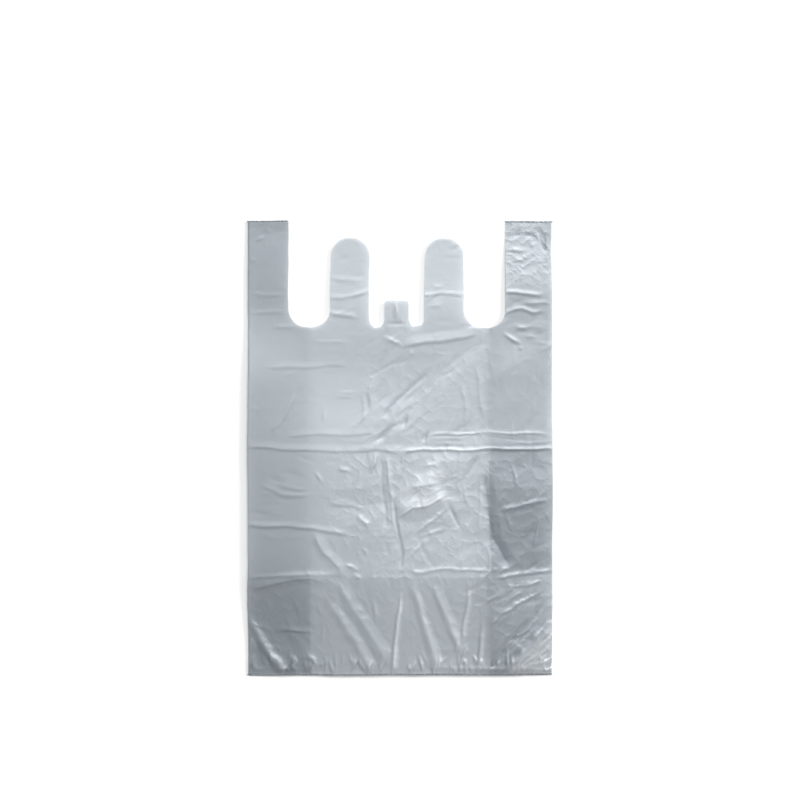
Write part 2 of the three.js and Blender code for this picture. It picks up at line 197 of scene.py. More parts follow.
# Creases and crumples of the front panel. The bag was folded flat for its packet and then
# handled: each line is a ridge, or a valley where its height is negative, with the height
# and the widths of its left and right side as one walks along it.
creases = [
    ("main packing fold, left", [(-158, 0.5), (-93.5, -1.5), (-47.5, -2.5), (4, -2)], 0.4, 6, 1.6),
    ("main packing fold, right",
     [(-2, -2), (40, -2.5), (79.5, -1.5), (119.5, -0.5), (158, 0)], 0.75, 2.6, 2),
    ("line above the main fold, left",
     [(-114.5, 12.5), (-79.5, 14), (-49, 12.5), (-20, 15.5)], 0.22, 5, 1.6),
    ("line above the main fold, right",
     [(27, 14), (69.5, 14.5), (99.5, 14.5), (150, 14.5)], 0.35, 1.8, 1.6),
    ("faint fold across the upper left", [(-136, 79), (-94, 79.5), (-49.5, 82.5)], 0.22, 5, 1.5),
    ("light line above it", [(-88.5, 105), (-49.5, 106)], 0.2, 2, 4),
    ("fold across the left side",
     [(-157, -76.5), (-117.5, -78), (-88.5, -80), (-48.5, -85.5)], 0.7, 5, 1.5),
    ("wavy crease left of the middle", [(-72.5, -55), (-48.5, -56), (-31, -62.5)], 0.4, 4, 1.6),
    ("faint crease on the left side", [(-140.5, -36), (-117.5, -45), (-88.5, -48.5)], 0.35, 4, 2.5),
    ("faint crease above it", [(-123.5, -34.5), (-90.5, -43.5)], 0.3, 3, 2.5),
    ("lowest packing fold, left",
     [(-157, -130), (-117.5, -127.5), (-88.5, -125.5), (-48, -125.5)], 0.4, 4, 1.4),
    ("shade below it",
     [(-150, -141.5), (-128.5, -136.5), (-106, -130.5), (-88.5, -129.5), (-69.5, -133.5)], 0.9, 9, 6),
    ("lowest packing fold, middle",
     [(4, -120), (23, -121.5), (41, -118.5), (69.5, -120), (91.5, -121.5)], 0.5, 2.2, 3),
    ("lowest packing fold, right",
     [(94, -130.5), (108, -125.5), (129.5, -123.5), (157, -121)], 0.8, 3.5, 2),
    ("second ridge below it", [(101.5, -136.5), (127, -135), (147, -129.5)], 0.5, 2.5, 3),
    ("dark crease in the left gusset", [(-125.5, -180.5), (-94.5, -181.5), (-88.5, -179.5)], 0.8, 5, 2),
    ("short ridge in the left corner", [(-150, -213.5), (-140.5, -224)], 0.7, 2, 2.5),
    ("pale band at the left gusset's fold", [(-85, -82), (-76, -104), (-54, -126)], 1, 8, 6),
    ("tangle above the lowest fold, left", [(-55.5, -115), (-40, -121)], 0.6, 1.8, 1.8),
    ("tangle above the lowest fold, right", [(-47.5, -123.5), (-36, -129.5)], 0.6, 1.8, 1.8),
    ("small arc above the tangles", [(-39, -98), (-33, -102), (-30, -109)], 0.6, 2, 2),
    ("soft swelling left of the middle", [(-47.5, -62.5), (-34, -74), (-31, -84)], 0.7, 3, 4),
    ("hooked crease below the lowest fold", [(-27, -143.5), (-24, -159.5), (-22, -175.5)], 0.5, 2, 2),
    ("shade along the hooked crease", [(-26, -148), (-22, -176)], 0.6, 4, 3),
    ("crinkle at the bottom, far left", [(-117.5, -210), (-101, -224)], 0.8, 2, 2.2),
    ("crinkle at the bottom, left", [(-65.5, -201), (-64, -221)], 0.8, 2, 2.2),
    ("crinkle at the bottom, left of the middle", [(-41, -207.5), (-50, -223)], 0.8, 2, 2.2),
    ("light streak above them", [(-75.5, -169.5), (-78, -197)], 0.4, 2, 3),
    ("lower edge of the pale patch",
     [(-4, -69), (13, -58), (25.4, -57.6), (37.8, -51.1), (50, -45)], 2, 24, 13),
    ("dark line right of the patch", [(47, -54), (60.5, -80.5)], -0.9, 2, 2),
    ("slanting ridge below the patch", [(12.5, -87), (49.5, -56)], 0.6, 3, 3),
    ("second slanting ridge", [(19, -88), (50.5, -79)], 0.5, 2.5, 2.5),
    ("soft valley along the right gusset's fold",
     [(84.5, -26), (87, -60), (93, -88), (104, -108), (110, -118)], -1.8, 8, 12),
    ("strip beside it", [(79.5, -28), (80, -57), (78.5, -84)], 0.6, 4, 4),
    ("band across the right gusset", [(96.5, -61), (127, -55), (149.5, -50)], 0.8, 3.5, 5),
    ("upright crease in the right gusset", [(138.5, -65), (132.5, -103)], 0.5, 3, 2),
    ("small arc above the lowest fold", [(99, -123.5), (102.5, -119), (108.5, -117.5)], 0.7, 1.8, 1.8),
    ("thin slanting crease, lower right",
     [(95, -165.5), (111.5, -159), (114, -155.5), (144, -139.5)], 0.8, 2.2, 2.2),
    ("crinkle at the bottom, right of the middle", [(55.5, -190.5), (54.5, -205.5)], 0.8, 2, 2),
    ("crinkle at the bottom, right", [(67, -190.5), (62.5, -206.5), (60.5, -222)], 1, 2, 2),
    ("small hook, lower right", [(89, -174.5), (92.5, -171.5), (99, -168)], 0.7, 2, 2),
    ("band below the right cut-out", [(0, 101), (30.5, 105), (62.5, 110), (77.5, 114)], 0.8, 8, 1.8),
    ("its tail", [(9, 89.5), (13, 97)], 0.5, 2, 2),
    ("bright crease on the right shoulder", [(99.5, 116), (111.5, 109), (123, 102)], 0.9, 2.2, 2.2),
    ("short hook at its end", [(116.5, 100), (122.5, 98)], 0.5, 1.6, 1.6),
    ("long slanting valley", [(-18, 27.5), (-8.5, 41), (9, 57.5), (29, 76)], -0.9, 4, 2.6),
    ("crescent left of the valley", [(-26, 69), (-31, 55.5), (-28, 35.5)], 0.5, 6, 3),
    ("curve under the tab", [(-19, 111), (-7, 108), (1.5, 104), (4, 97)], 0.7, 2, 2.5),
    ("short dark crease above the main fold", [(8, 36), (1.5, 19.5)], -0.9, 2, 2),
    ("dark crease down to the main fold", [(-4.5, 27.5), (-19, 10.5), (-28, 3.5)], -1.2, 3.5, 3.5),
    ("upright dark crease above the main fold", [(27, 19.5), (23, 2.5)], -0.9, 2, 2),
    ("small break in the main fold", [(45.5, 3.5), (44, -7)], -0.5, 1.6, 1.6),
    ("first pleat under the main fold", [(-22, -3.5), (-31, -25.5)], 0.9, 2.2, 2.2),
    ("valley beside it", [(-20, -4.5), (-17, -42), (-14, -82)], -0.6, 3, 2.4),
    ("second pleat under the main fold", [(-14, -4.5), (-10, -42), (-6, -82)], 0.6, 3, 3),
    ("thin valley in the middle", [(0.6, -3.4), (-2, -25.3)], -0.4, 1.6, 2.4),
    ("upper edge of the pale disk", [(20, -16.5), (32, -15), (43, -18.5)], 0.5, 2.5, 5),
    ("slanting valley right of the disk", [(79.5, -5), (70.5, -18.5), (61.5, -35)], -0.8, 4, 3.5),
    ("upper of two fine lines", [(-65.5, 54), (-41, 55.5)], 0.3, 2, 1.5),
    ("lower of two fine lines", [(-66.5, 50.5), (-44, 52)], 0.3, 2, 1.5),
    ("upright crease in the upper left", [(-38, 57.5), (-35, 39.5), (-36, 20.5)], 0.25, 2.5, 3),
    ("soft upright swelling", [(-74.5, 40.5), (-75, 23.5)], 0.3, 3, 3),
    ("soft upright ridge, right of the middle", [(60.5, 68), (64.5, 46.5), (67.5, 16.5)], 0.3, 3.5, 3.5),
    ("soft ridge beside the right gusset", [(76, 83.5), (80, 46), (86, 24.5)], 0.4, 5, 4),
    ("soft slanting ridge on the left",
     [(-102.5, 56.5), (-114.5, 30.5), (-123.5, 19.5), (-123.5, 9.5)], 0.45, 4, 4),
    ("short slanting crease on the left", [(-84, -22), (-76, -36)], 0.5, 2.2, 2.2),
    ("short crease under the main fold", [(-62.5, -22), (-47, -22)], 0.5, 4, 2),
    ("left strap, upper line", [(-149, 152), (-110.5, 152)], 0.2, 4, 1.5),
    ("left strap, middle line", [(-150, 134), (-110.5, 134.5)], 0.2, 2.5, 2.5),
    ("left strap, lower line", [(-130.5, 118.5), (-99.5, 120.5)], 0.25, 4, 1.6),
    ("left strap's end, first crinkle", [(-144, 205), (-136, 211)], 0.4, 1.8, 1.8),
    ("left strap's end, second crinkle", [(-133.5, 220.5), (-128.5, 213)], 0.4, 1.8, 1.8),
    ("left flap, upper fold", [(-75, 148.5), (-57.5, 148), (-25, 158)], 0.35, 4, 1.6),
    ("left flap, lower fold", [(-75, 135), (-54.5, 131.5), (-38, 128.5)], 0.5, 4, 1.8),
    ("left flap, soft band", [(-67.5, 168.5), (-34, 166.5)], 0.25, 5, 6),
    ("right strap, first dent", [(113.5, 209), (122, 216)], -1, 2.2, 2.2),
    ("right strap, second dent", [(125, 210), (130, 214)], -1, 2.2, 2.2),
    ("right strap, third dent", [(130, 214), (137, 205)], -1.1, 2.4, 2.4),
    ("right strap, dark band at its edge", [(135, 221.5), (142, 210), (147, 192.5)], -1.2, 3, 3),
    ("right strap, long wrinkle", [(98, 197), (121.5, 196), (131.5, 198.5)], 0.5, 2, 1.2),
    ("right strap, wrinkle below it", [(117.5, 188.5), (133, 190.5)], 0.3, 2, 1.2),
    ("right strap, slanting wrinkle", [(110.5, 190.5), (125, 184.5)], 0.45, 2, 1.2),
    ("right strap, wrinkle at its edge", [(133, 185.5), (142, 176.5), (149, 175.5)], 0.3, 1.6, 1.2),
    ("right strap, faint wrinkle", [(114.5, 174.5), (132, 170.5)], 0.25, 2, 1.5),
    ("right strap, bright fold", [(97, 154), (123.5, 153.5), (145, 151)], 0.8, 3, 1.6),
    ("right strap, line below the fold", [(122, 144.5), (155, 144)], 0.5, 2, 1.4),
    ("right strap, wavy ridge",
     [(97, 133), (106, 135), (113.5, 138.5), (122, 139.5), (132, 135), (146, 137)], 0.7, 2.6, 1.8),
    ("right strap's foot, upper wrinkle", [(112.5, 122), (130, 117.5)], 0.5, 2.5, 3),
    ("right strap's foot, lower wrinkle", [(122, 111.5), (139.5, 109.5)], 0.4, 2.5, 3),
    ("right flap, fold", [(16, 151), (42, 152.5), (68, 150.5)], 0.45, 3, 1.8),
    ("right flap, wrinkle below it", [(26.5, 139), (43.5, 143.5)], 0.3, 3, 3),
    ("right flap, soft ridge", [(30, 163.5), (37, 159), (47.5, 159)], 0.25, 3, 4),
    ("pressed line across the tab", [(-15.5, 123.3), (9.5, 123)], -0.5, 1.5, 1.5),
    ("crease down the middle", [(-8, -48), (-2, -87), (2.6, -103), (1.3, -122)], -1, 1.4, 4),
    ("pale disk", [(20, -29), (30, -26), (39, -30)], 0.7, 13, 13),
    ("shoulder of the pale patch", [(5, -38), (40, -36)], 1.2, 14, 12),
    ("facet on the tab", [(-4, 147), (-3, 125)], 0.6, 2.5, 3),
]

# Straight pleats below the last packing fold: start, end, height at each end, the width of the left and of
# the right flank at each end, and how strongly the ridge's painted highlight and painted shade show.
pleats = [
    ("wide pleat, left of the middle", (-64.7, -127), (-11.9, -213), (1.3, 2.2), (9, 10), (7, 8), 0.3),
    ("next pleat to its left", (-75, -143), (-27, -222), (1, 1.7), (6, 8), (6, 8), 0.6),
    ("bright ridge in the middle", (0.3, -140), (-7, -225), (1.3, 3.2), (1.8, 5.5), (1.4, 2.2), 2.4),
    ("first pleat right of the middle", (9.9, -128), (37.8, -221), (1.2, 2.3), (5, 7), (5, 6), 0.7),
    ("second pleat right of the middle", (29.8, -130), (60, -204), (1.2, 2.1), (7, 8), (4, 5), 0.6),
    ("upright ridge", (68.6, -131), (62.2, -192), (1, 1.5), (3.5, 3.5), (2, 2.5), 1.2),
    ("lower upright ridge", (83, -166), (77.6, -222), (1, 1.9), (3, 4), (2, 2.5), 0.9),
    ("band across the right corner", (151, -169), (108, -222), (1.6, 2.6), (4, 6), (8, 10), 1),
    ("band above it", (149, -146), (89, -218), (-1.2, -2), (3, 4), (3, 4), -0.8),
    ("ridge across the left corner", (-154, -162), (-115.5, -226), (1.3, 2.2), (5, 6), (6, 8), 0.7),
    ("shade beside it", (-120, -150), (-88, -224), (0.3, 0.6), (9, 9), (9, 9), 0),
]

# Where small creases are scattered: two corners of the zone, how many, and the range of
# their length, height and width; then their direction and how far it swings, in degrees.
scattered = [
    ("right strap", (103, 112), (150, 222), 76, (8, 24), (0.04, 0.16), (0.8, 1.9), 12, 30),
    ("right strap, across", (103, 130), (150, 222), 44, (7, 18), (0.04, 0.14), (0.8, 1.7), 100, 35),
    ("right shoulder", (66, 100), (150, 150), 20, (10, 28), (0.2, 0.6), (1.8, 5), 8, 25),
    ("left strap", (-150, 150), (-108, 222), 8, (8, 20), (0.1, 0.25), (1.6, 4), 0, 40),
    ("left strap's end", (-150, 208), (-128, 223), 7, (5, 12), (0.2, 0.5), (1.3, 3), 60, 50),
    ("left flap", (-66, 110), (-32, 205), 7, (8, 24), (0.15, 0.4), (1.6, 5), 8, 25),
    ("right flap", (26, 110), (62, 205), 7, (8, 24), (0.15, 0.4), (1.6, 5), 8, 25),
    ("tab", (-14, 118), (8, 145), 6, (5, 14), (0.2, 0.5), (1.3, 3), 80, 30),
    ("upper left", (-150, 10), (-50, 110), 10, (12, 34), (0.06, 0.18), (2, 6), 5, 30),
    ("upper middle", (-40, 5), (82, 112), 24, (16, 44), (0.2, 0.6), (1.6, 6), 52, 35),
    ("upper middle, fine", (-10, 5), (60, 60), 9, (10, 24), (0.1, 0.3), (1.2, 2.6), 75, 40),
    ("upper right", (70, 5), (150, 105), 18, (10, 34), (0.15, 0.4), (1.8, 5), 78, 25),
    ("packing lines", (40, 0), (150, 16), 26, (14, 40), (0.1, 0.25), (0.8, 1.4), 0, 6),
    ("lower middle", (-48, -120), (90, -8), 26, (14, 42), (0.2, 0.65), (1.6, 6), 80, 40),
    ("lower middle, fine", (-30, -120), (70, -8), 14, (9, 22), (0.15, 0.5), (1.2, 2.6), 60, 60),
    ("lower right", (88, -128), (150, -4), 24, (10, 30), (0.2, 0.7), (1.6, 5), 70, 50),
    ("left middle", (-150, -140), (-50, -5), 18, (12, 34), (0.1, 0.35), (1.8, 6), -8, 14),
    ("bottom right", (60, -215), (150, -126), 40, (8, 30), (0.3, 1.0), (1.6, 5), 55, 45),
    ("bottom middle", (-72, -215), (60, -126), 26, (10, 36), (0.15, 0.4), (1.6, 5), 108, 18),
    ("upper middle, long", (-45, 0), (85, 115), 24, (25, 60), (0.08, 0.22), (0.8, 1.8), 58, 30),
    ("lower middle, long", (-50, -125), (85, -5), 22, (25, 60), (0.08, 0.22), (0.8, 1.8), 82, 35),
    ("bottom, long", (-90, -215), (80, -130), 30, (30, 70), (0.08, 0.25), (0.9, 2), 112, 16),
    ("bottom right, long", (80, -215), (150, -130), 24, (25, 60), (0.1, 0.35), (0.9, 2), 50, 22),
    ("bottom right corner", (112, -223), (151, -182), 80, (6, 18), (0.4, 0.9), (0.9, 1.5), 47, 12),
    ("bottom left", (-150, -218), (-72, -150), 18, (10, 30), (0.2, 0.7), (1.8, 6), 130, 35),
    ("bottom edge", (-150, -223), (150, -209), 100, (6, 18), (0.8, 2.0), (1.0, 2.4), 90, 32),
]


def spread(ends, pitches):
    """Evenly spaced values from end to end, at about the pitch given for each stretch."""
    values = [ends[0]]
    for start, end, pitch in zip(ends[:-1], ends[1:], pitches):
        values += list(np.linspace(start, end, round((end - start) / pitch) + 1)[1:])
    return np.array(values)


# the columns and rows of the film's mesh are closest where it is crumpled most
column_x = spread([-side_fold_x, -90, side_fold_x], [1.9, 1.16])
row_y = spread([bottom_y, -100, -8, 20, 110, top_y], [1.2, 1.3, 0.95, 1.45, 1.5])
rows = len(row_y) - 1
grid_x, grid_y = np.meshgrid(column_x, row_y)

# creases aren't quite straight, so their places are read from a grid that is bent a little
warp_x = grid_x + 1.2 * noise(grid_x, grid_y, 22, 22, 11) + 0.35 * noise(grid_x, grid_y, 8, 8, 12)
warp_y = grid_y + 1.2 * noise(grid_x, grid_y, 22, 22, 13) + 0.35 * noise(grid_x, grid_y, 8, 8, 14)

# the form of a crease, in millimetres
crease_rounding = 0.4
foot_share = 0.9  # a flank runs out over this share of its width
foot_extra = 1.2  # and this much more
crest_place = 0.3  # from the ridge towards the light, where its painted highlight lies
crest_half = 0.9
light_slant = 0.35  # the light comes from beyond the straps, and this much from the right
shade_place = 1.5  # from the ridge away from the light, where its painted shade lies
# strength of the painted shade at a ridge's foot, then the width and strength of the painted shade along a
# valley
shade_strength = 1.1
valley_half = 1.5
valley_strength = 0.7
# how much painted highlight and painted shade a crease gets for its height
painted_shading_for_height = 0.5
crease_gain = 0.72  # the film springs back, so its creases keep this share of their height
scatter_gain = 0.43
crease_taper = 13  # longest stretch over which a crease rises and fades at its ends
scatter_taper = 24
relief = np.zeros(grid_x.shape)
painted_shading = np.zeros(grid_x.shape)


def add_crease(points, height, left, right, longest_taper):
    """Adds one ridge or valley to the relief, and paints its light and shade into the film's colour: a
    painted highlight on a ridge's crest and painted shade at its dark steeper foot, away from the light, or
    painted shade along a valley.
    """
    points = np.array(points, float)
    reach = 1.2 * max(left, right) + 5
    lowest, highest = points.min(0) - reach, points.max(0) + reach
    first_x, last_x = np.searchsorted(column_x, [lowest[0], highest[0]])
    first_y, last_y = np.searchsorted(row_y, [lowest[1], highest[1]])
    window = (slice(first_y, last_y), slice(first_x, last_x))
    x, y = warp_x[window], warp_y[window]
    if x.size == 0:
        return
    length = np.linalg.norm(np.diff(points, axis=0), axis=1).sum()
    taper = min(0.5 * length, longest_taper)
    nearest = np.full(x.shape, np.inf)
    profile = np.zeros(x.shape)
    line = np.zeros(x.shape)
    walked = 0.0
    for (ax, ay), (bx, by) in zip(points[:-1], points[1:]):
        step = np.hypot(bx - ax, by - ay)
        ux, uy = (bx - ax) / step, (by - ay) / step
        along = np.clip((x - ax) * ux + (y - ay) * uy, 0, step)
        dx, dy = x - ax - along * ux, y - ay - along * uy
        distance = np.hypot(dx, dy)
        to_left = ux * dy - uy * dx
        towards_light = to_left * (1 if ux - light_slant * uy > 0 else -1)
        width = np.where(to_left > 0, left, right)
        foot = foot_share * width + foot_extra
        sharpness = np.clip(2.6 - 0.18 * width, 1.25, 2.2)  # a narrow flank is curved more
        rounded = np.sqrt(distance**2 + crease_rounding**2) - crease_rounding
        place = walked + along
        ends = smooth(0, taper, place) * smooth(0, taper, length - place)
        value = np.clip(1 - rounded / foot, 0, 1) ** sharpness * ends
        # the painted highlight is weaker towards the left
        painted_shine = mix(0.45, 1, smooth(-60, -10, x))
        pale = painted_shine * np.exp(-(((towards_light - crest_place) / crest_half) ** 2))
        painted_tone = pale - shade_strength * np.exp(-(((towards_light + shade_place) / crest_half) ** 2))
        # a valley gets painted shade along its floor instead
        if height < 0:
            painted_tone = valley_strength * np.exp(-((towards_light / valley_half) ** 2))
        beside = distance < np.abs(towards_light) + 0.5
        profile = np.where(distance < nearest, value, profile)
        line = np.where(distance < nearest, painted_tone * ends * beside, line)
        nearest = np.minimum(distance, nearest)
        walked += step
    relief[window] += height * profile
    painted_shading[window] += painted_shading_for_height * height * line


for _, points, height, left, right in creases:
    add_crease(points, crease_gain * height, left, right, crease_taper)

pleat_softness = 0.5  # square millimetres
pleat_sharpness = 1.1
pleat_start = 26  # over which a pleat rises out of the flat film
pleat_end = 10
pleat_overrun = 5
pleat_painted_highlight = 0.5
pleat_painted_shade = 0.25
for _, start, end, heights, lefts, rights, painted_shine in pleats:
    length = np.hypot(end[0] - start[0], end[1] - start[1])
    ux, uy = (end[0] - start[0]) / length, (end[1] - start[1]) / length
    along = (warp_x - start[0]) * ux + (warp_y - start[1]) * uy
    aside = ux * (warp_y - start[1]) - uy * (warp_x - start[0])
    t = np.clip(along / length, 0, 1)
    width = np.where(aside > 0, mix(lefts[0], lefts[1], t), mix(rights[0], rights[1], t))
    rounded = np.sqrt(aside**2 + pleat_softness) - np.sqrt(pleat_softness)
    ends = smooth(0, pleat_start, along) * smooth(length + pleat_overrun, length - pleat_end, along)
    flanks = np.clip(1 - rounded / width, 0, 1) ** pleat_sharpness
    relief += mix(heights[0], heights[1], t) * flanks * ends
    # a painted highlight along the pleat's lit flank and painted shade on its other flank, drawn into the
    # film's colour
    painted_highlight_width = 0.6 + 0.32 * mix(lefts[0], lefts[1], t)
    painted_shading += painted_shine * pleat_painted_highlight * np.exp(-(((aside - 0.5 * painted_highlight_width) / painted_highlight_width) ** 2)) * ends
    painted_shade_flank = smooth(0, -1.5, aside) * smooth(-width, -0.6 * width, aside)
    painted_shading -= painted_shine * pleat_painted_shade * painted_shade_flank * ends

# Tones drawn into the film's colour. Where the gussets' two more layers lie behind the front panel, below
# the main fold on the right and below the lowest one on the left, it is darker: painted shade for the light
# those layers hold back. The film is also a little darker left of the middle below the lowest fold and at
# the left strap's end, and paler on two patches in the middle and past the band across the right corner,
# where the paler colour is a painted highlight.
tone_step = 0.6  # half the width of the step at a gusset's inner fold
at_right_gusset = smooth(inner_fold_x - tone_step, inner_fold_x + tone_step, warp_x)
at_left_gusset = smooth(tone_step - inner_fold_x, -tone_step - inner_fold_x, warp_x)
# painted shade where the right gusset lies behind the front panel
painted_shading -= 0.42 * at_right_gusset * smooth(16, -10, grid_y) * smooth(-128, -116, grid_y)
painted_shading -= 0.14 * smooth(20, -60, grid_x) * smooth(-115, -150, grid_y)
# painted shade where the left gusset lies behind the front panel
painted_shading -= 0.22 * at_left_gusset * smooth(-90, -140, grid_y)
# painted highlight on two patches in the middle
for strength, middle_x, middle_y, half_x, half_y in ((0.36, 31, -27, 12, 8), (0.28, 22, -48, 25, 12)):
    from_middle = ((warp_x - middle_x) / half_x) ** 2 + ((warp_y - middle_y) / half_y) ** 2
    painted_shading += strength * np.exp(-(from_middle**2))
# painted highlight past the band across the right corner
past_band = 0.78 * (warp_x - 151) - 0.63 * (warp_y + 169)
painted_shading += 0.55 * smooth(0, 4, past_band) * smooth(60, 90, grid_x)
painted_shading -= 0.35 * smooth(-60, -110, grid_x) * smooth(130, 190, grid_y)

length_gain = 1.5  # of the lengths and widths in the list
width_gain = 0.9
most_bend = 0.12
beside_weld = 25
rng = np.random.default_rng(7)
for _, corner, opposite, how_many, lengths, heights, widths, direction, swing in scattered:
    for _ in range(how_many):
        x, y = rng.uniform(corner, opposite)
        angle = np.radians(direction + rng.uniform(-swing, swing))
        half = rng.uniform(*lengths) * length_gain / 2
        bend = rng.uniform(-most_bend, most_bend)
        dx, dy = half * np.cos(angle), half * np.sin(angle)
        middle = (x - dy * bend, y + dx * bend)
        height = scatter_gain * rng.uniform(*heights) * rng.choice([-1, 1])
        if opposite[1] < bottom_y + beside_weld:
            height = abs(height)  # beside the bottom weld they all stand up
        left, right = rng.uniform(*widths, 2) * width_gain
        add_crease([(x - dx, y - dy), middle, (x + dx, y + dy)], height, left, right, scatter_taper)


# Crumpled facets lie between the creases, tilted one way above the main fold and tumbled
# below it. Below the last packing fold the film is gathered into pleats that fan out from
# the middle of the weld, and the right strap and the lower right corner are jumbled.
facet_warp = 0.3  # of a cell, so that the facets' edges aren't all parallel
facet_warp_cell = 1.7


def facets(x, y, cell_x, cell_y, angle, seed):
    """Flat triangular facets from -1 to 1, as crumpled film has them between its creases."""
    size = lattice_size
    lattice = np.random.default_rng(seed).uniform(-1, 1, (size, size))
    c, s = np.cos(np.radians(angle)), np.sin(np.radians(angle))
    x, y = (x * c + y * s) / cell_x, (y * c - x * s) / cell_y
    u = x + facet_warp * noise(x, y, facet_warp_cell, facet_warp_cell, seed + 40) + size / 2
    v = y + facet_warp * noise(x, y, facet_warp_cell, facet_warp_cell, seed + 60) + size / 2
    i, j = np.floor(u).astype(int), np.floor(v).astype(int)
    fu, fv = u - i, v - j
    i, j = i % size, j % size
    k, m = (i + 1) % size, (j + 1) % size
    first, right, above, last = lattice[j, i], lattice[j, k], lattice[m, i], lattice[m, k]
    lower_half = first + fu * (right - first) + fv * (above - first)
    upper_half = last + (1 - fu) * (above - last) + (1 - fv) * (right - last)
    return np.where(fu + fv < 1, lower_half, upper_half)


tilted_height = 0.58
tumbled_height = 0.5
gathered_height = 0.25
strap_height = 0.05
corner_height = 0.15
swell_height = 0.6  # soft swellings all over
bulge_height = 3.0  # air under the lower right of the front panel
bulge_x = 112
upper = smooth(-60, -15, grid_x) * smooth(-5, 5, grid_y) * smooth(125, 95, grid_y)
upper *= 1 - 0.6 * smooth(75, 95, grid_x)
lower = smooth(-95, -40, grid_x) * smooth(5, -5, grid_y)
pleated = smooth(-105, -150, grid_y)
strap = smooth(90, 110, grid_x) * smooth(150, 175, grid_y)
tilted = facets(warp_x, warp_y, 48, 18, 50, 21) + 0.2 * facets(warp_x, warp_y, 30, 8, 62, 22)
tumbled = facets(warp_x, warp_y, 38, 20, 35, 23) + 0.2 * facets(warp_x, warp_y, 22, 8, 80, 24)
fan_x = warp_x * (1 - 0.005 * (warp_y + 120) * smooth(-100, -130, warp_y))
gathered = facets(fan_x, warp_y, 19, 70, -6, 25) + 0.4 * facets(fan_x, warp_y, 9, 34, 6, 26)
jumbled = facets(warp_x, warp_y, 11, 8, 35, 27) + 0.5 * facets(warp_x, warp_y, 6, 5, 70, 28)
relief += (0.1 + 0.6 * upper) * tilted * tilted_height
relief += lower * (1 - 0.7 * pleated) * tumbled * tumbled_height
relief += pleated * (0.1 + 0.9 * smooth(-90, -50, grid_x)) * gathered * gathered_height
relief += strap * jumbled * strap_height
relief += pleated * smooth(60, 100, grid_x) * jumbled * corner_height
relief += swell_height * noise(grid_x, grid_y, 60, 60, 31)
relief += bulge_height * smooth(60, 0, np.abs(grid_x - bulge_x)) * smooth(-120, -200, grid_y)

# how much the film's finest crinkles show, and the welds, which hold it flatter
crumple = np.clip(0.12 + 0.3 * upper + 0.6 * lower + 0.7 * pleated + 0.8 * strap, 0, 1)
at_welds = np.minimum(smooth(bottom_y, bottom_y + 7, grid_y), smooth(top_y, top_y - 6, grid_y))
relief *= 0.3 + 0.7 * at_welds


def crumpled(x, y, share):
    """Relief that a layer below the front panel shares with it."""
    i = np.clip(np.searchsorted(column_x, x) - 1, 0, len(column_x) - 2)
    j = np.clip(np.searchsorted(row_y, y), 0, rows)
    t = np.clip((x - column_x[i]) / (column_x[i + 1] - column_x[i]), 0, 1)
    # towards the bottom weld all layers go the same way
    share = mix(share, 1, smooth(bottom_y + 10, bottom_y + weld_width, y))
    return share * mix(relief[j, i], relief[j, i + 1], t)


below = np.where(np.abs(grid_x) > inner_fold_x, gusset_front(grid_x, grid_y), rear(grid_x, grid_y))
front_z = np.maximum(plain_front(grid_x, grid_y) + relief, below + layer_gap)


def half_turn(x, lower, upper, outwards):
    """Columns of a fold that turns from one layer to the next above it."""
    columns = []
    for k in range(1, fold_points + 1):
        angle = np.pi * k / (fold_points + 1) - np.pi / 2
        radius = (upper - lower) / 2
        bulge = np.minimum(radius, fold_radius) * np.cos(angle) * outwards
        columns.append((x + bulge, (upper + lower) / 2 + radius * np.sin(angle)))
    return columns


# The section, as columns of x and z: across the front, down round the right gusset, back
# along the rear panel and up round the left gusset.
section = [(np.full(rows + 1, x), front_z[:, i]) for i, x in enumerate(column_x)]
for side in (1, -1):
    gusset_x = side * np.linspace(side_fold_x, inner_fold_x, gusset_columns + 1)
    front_half = [(np.full(rows + 1, x), gusset_front(np.full(rows + 1, x), row_y)) for x in gusset_x]
    rear_half = [(np.full(rows + 1, x), gusset_rear(np.full(rows + 1, x), row_y)) for x in gusset_x]
    edge_x = side * side_fold_x
    inner_x = side * inner_fold_x
    front_edge = front_z[:, -1 if side > 0 else 0]
    rear_edge = rear(np.full(rows + 1, edge_x), row_y)
    strip = half_turn(edge_x, front_half[0][1], front_edge, side)[::-1]
    strip += front_half
    strip += half_turn(inner_x, rear_half[-1][1], front_half[-1][1], -side)[::-1]
    strip += rear_half[::-1]
    strip += half_turn(edge_x, rear_edge, rear_half[0][1], side)[::-1]
    if side > 0:
        section += strip
        rear_x = np.linspace(side_fold_x, -side_fold_x, rear_columns + 1)
        section += [(np.full(rows + 1, x), rear(np.full(rows + 1, x), row_y)) for x in rear_x]
    else:
        section += strip[::-1]

count = len(section)
places = np.empty((rows + 1, count, 3))
for i, (x, z) in enumerate(section):
    places[:, i, 0] = x
    places[:, i, 1] = row_y
    places[:, i, 2] = z
places = places.reshape(-1, 3)
row, column = np.meshgrid(np.arange(rows), np.arange(count), indexing="ij")
following = (column + 1) % count
quads = np.stack([row * count + column, (row + 1) * count + column,
                  (row + 1) * count + following, row * count + following], -1).reshape(-1, 4)

# The die cuts both straps' inner sides, the two tie flaps, the slots and the hanging tab
# through all layers in one stroke, a little to the left of the middle.
die_offset = -3
tab_width = 23.8
tab_height = 27.5
tab_corner = 3
slot_width = 15.7
slot_end_height = 11.6
flap_width = 38.3
hand_width = 42
hand_corner = 19
tab_edge = tab_width / 2
flap_inner = tab_edge + slot_width
flap_outer = flap_inner + flap_width
strap_inner = flap_outer + hand_width
cut_halvings = 14  # steps in which a new point is brought onto the cut


